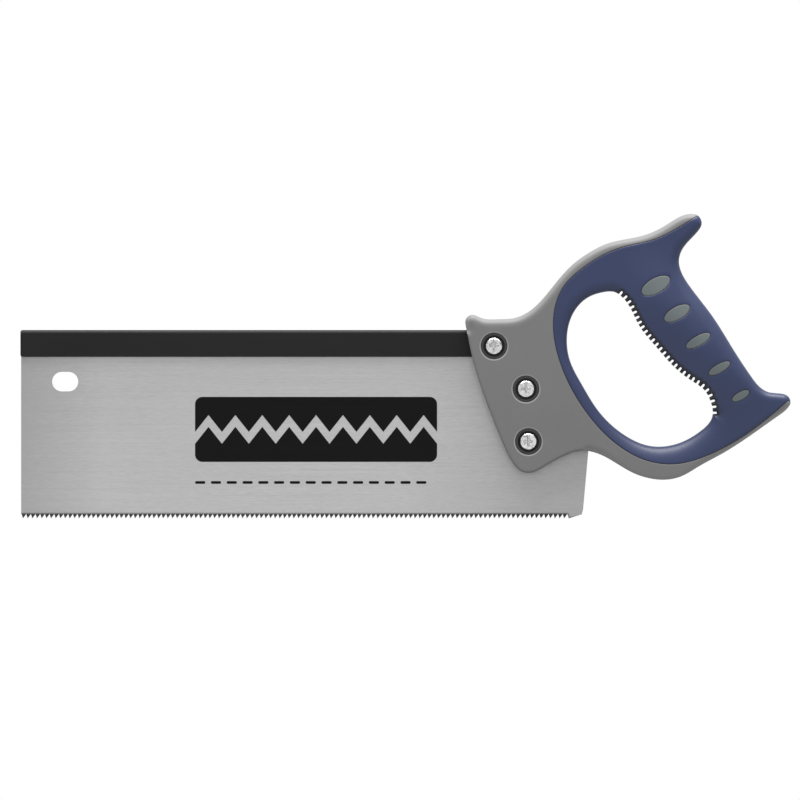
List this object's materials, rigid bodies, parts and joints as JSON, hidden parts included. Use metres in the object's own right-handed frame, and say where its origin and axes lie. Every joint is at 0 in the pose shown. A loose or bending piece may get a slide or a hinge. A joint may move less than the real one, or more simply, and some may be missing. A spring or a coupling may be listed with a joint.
{
  "type": "back saw",
  "caption": "Back saw: toothed rectangular blade with a hang hole, folded steel back, and a closed pistol-grip handle with a soft ribbed grip, held by screws.",
  "frame": {"origin": "under the middle of the saw on the line of the tooth tips, in the blade's mid-plane", "axes": "+X from the toe to the handle, +Z from the teeth to the back, +Y from the screw heads' side to the sleeve nuts' side"},
  "size_m": [0.4194, 0.028, 0.1659],
  "materials": {
    "blade_steel": "ground along its length, lightly lacquered",
    "back_paint": "satin black",
    "hard_plastic": "fine moulded grain",
    "soft_grip": "matt, fine moulded grain",
    "fastener_steel": "bright zinc plate, scratched by the driver",
    "washer_plastic": "moulded black"
  },
  "bodies": {
    "root": {"blade": "blade_steel", "folded_back": "back_paint", "handle_core": "hard_plastic", "grip_overmould": "soft_grip", "top_screw": "fastener_steel", "top_sleeve_nut": "fastener_steel", "top_screw_washer": "washer_plastic", "top_nut_washer": "washer_plastic", "middle_screw": "fastener_steel", "middle_sleeve_nut": "fastener_steel", "middle_screw_washer": "washer_plastic", "middle_nut_washer": "washer_plastic", "bottom_screw": "fastener_steel", "bottom_sleeve_nut": "fastener_steel", "bottom_screw_washer": "washer_plastic", "bottom_nut_washer": "washer_plastic"}
  },
  "joints": []
}
